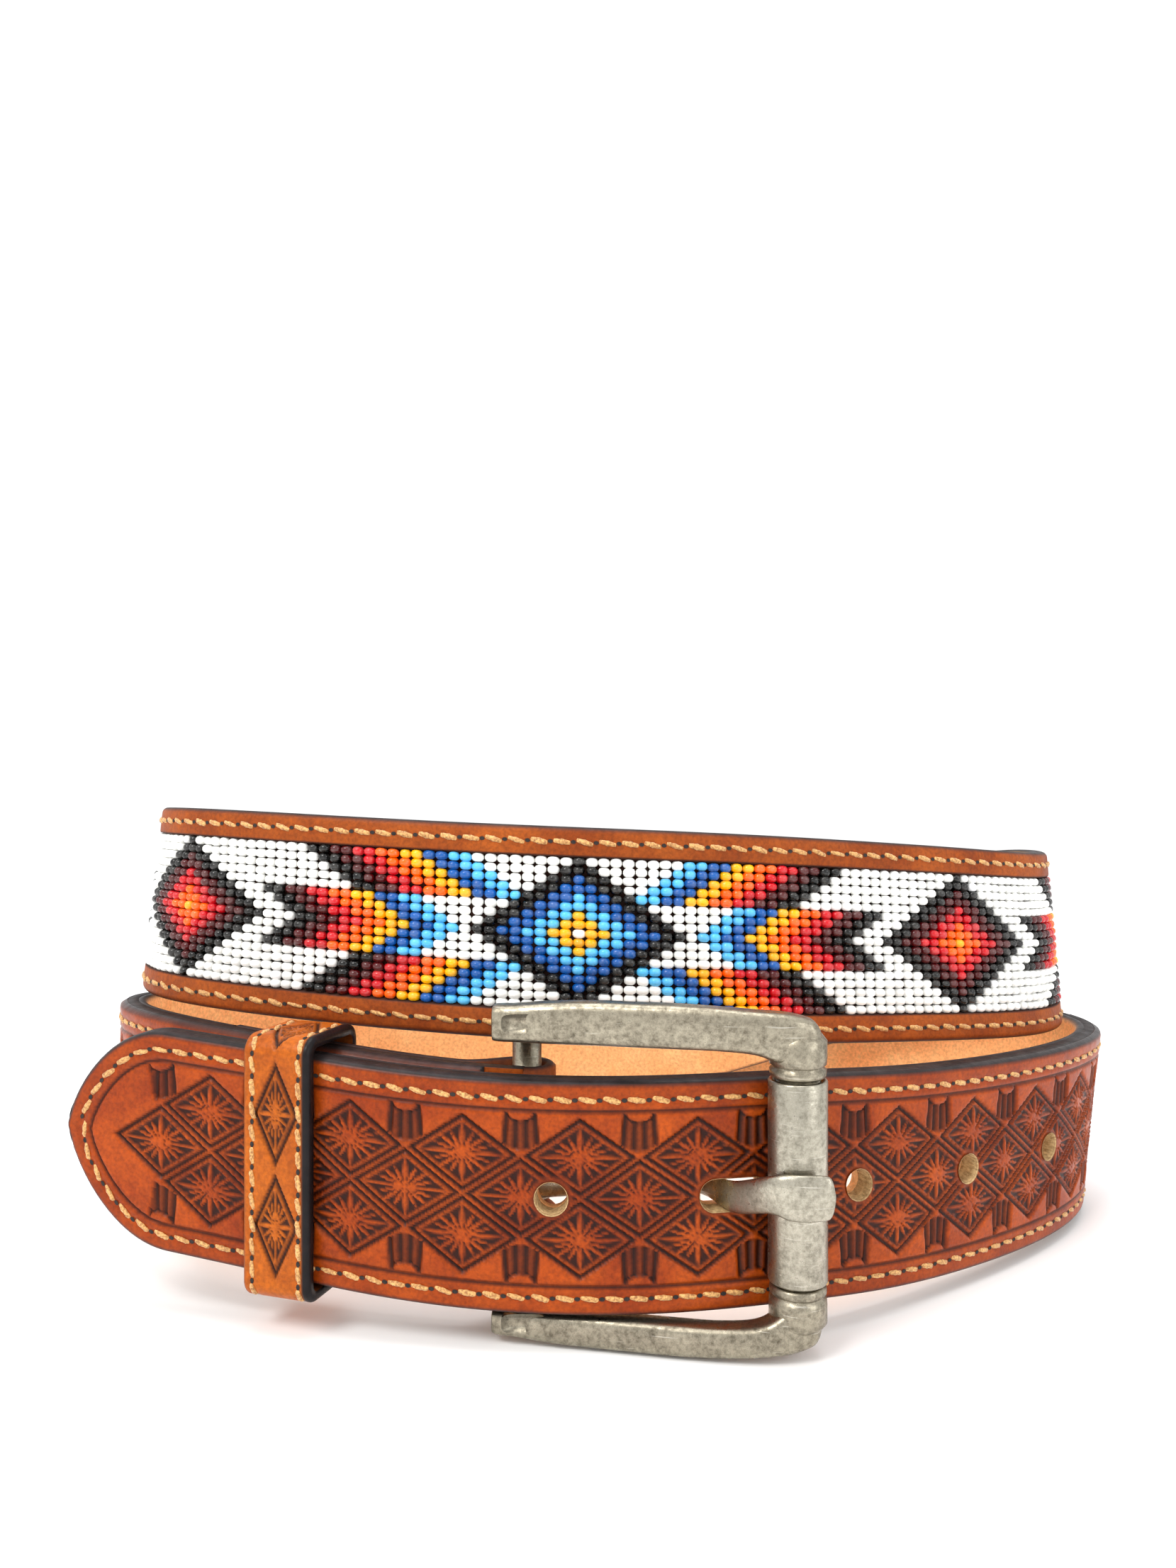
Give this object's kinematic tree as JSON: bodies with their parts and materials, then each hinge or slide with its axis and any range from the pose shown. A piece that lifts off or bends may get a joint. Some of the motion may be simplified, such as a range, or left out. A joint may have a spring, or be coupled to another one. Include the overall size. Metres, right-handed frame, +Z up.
{
  "type": "beaded leather belt",
  "caption": "Coiled leather belt with a geometric beaded band, tooled ends, an antique metal roller buckle and a leather keeper, fastened and standing on edge.",
  "frame": {"origin": "on the floor under the middle of the whole belt's bounding box", "axes": "+Z up across the strap's width as it stands on edge; -Y is the buckle's side, facing the camera; +X along the buckle, from its heel bar to its roller"},
  "size_m": [0.2112, 0.1378, 0.0874],
  "materials": {
    "border_leather": "matte brown bridle leather with dark burnished edges",
    "lining_leather": "smooth natural tan leather",
    "tooled_leather": "glossy tooled leather with dark antique finish in the recesses",
    "beads": "opaque glossy glass seed beads",
    "keeper_leather": "tooled leather, lighter than the strap, with dark edges",
    "antique_nickel": "worn antique nickel plating over cast metal"
  },
  "bodies": {
    "belt": {"base_strap": "border_leather", "lining": "lining_leather", "bead_band": "beads", "billet_overlay": "tooled_leather", "buckle_overlay": "tooled_leather", "keeper": "keeper_leather", "buckle_frame": "antique_nickel", "buckle_prong": "antique_nickel"},
    "roller": {"buckle_roller": "antique_nickel"}
  },
  "joints": [
    {"name": "roller_spin", "type": "hinge", "parent": "belt", "child": "roller", "pos_m": [0.02569, -0.06144, 0.0282], "axis": [0, 0, 1], "continuous": true}
  ]
}
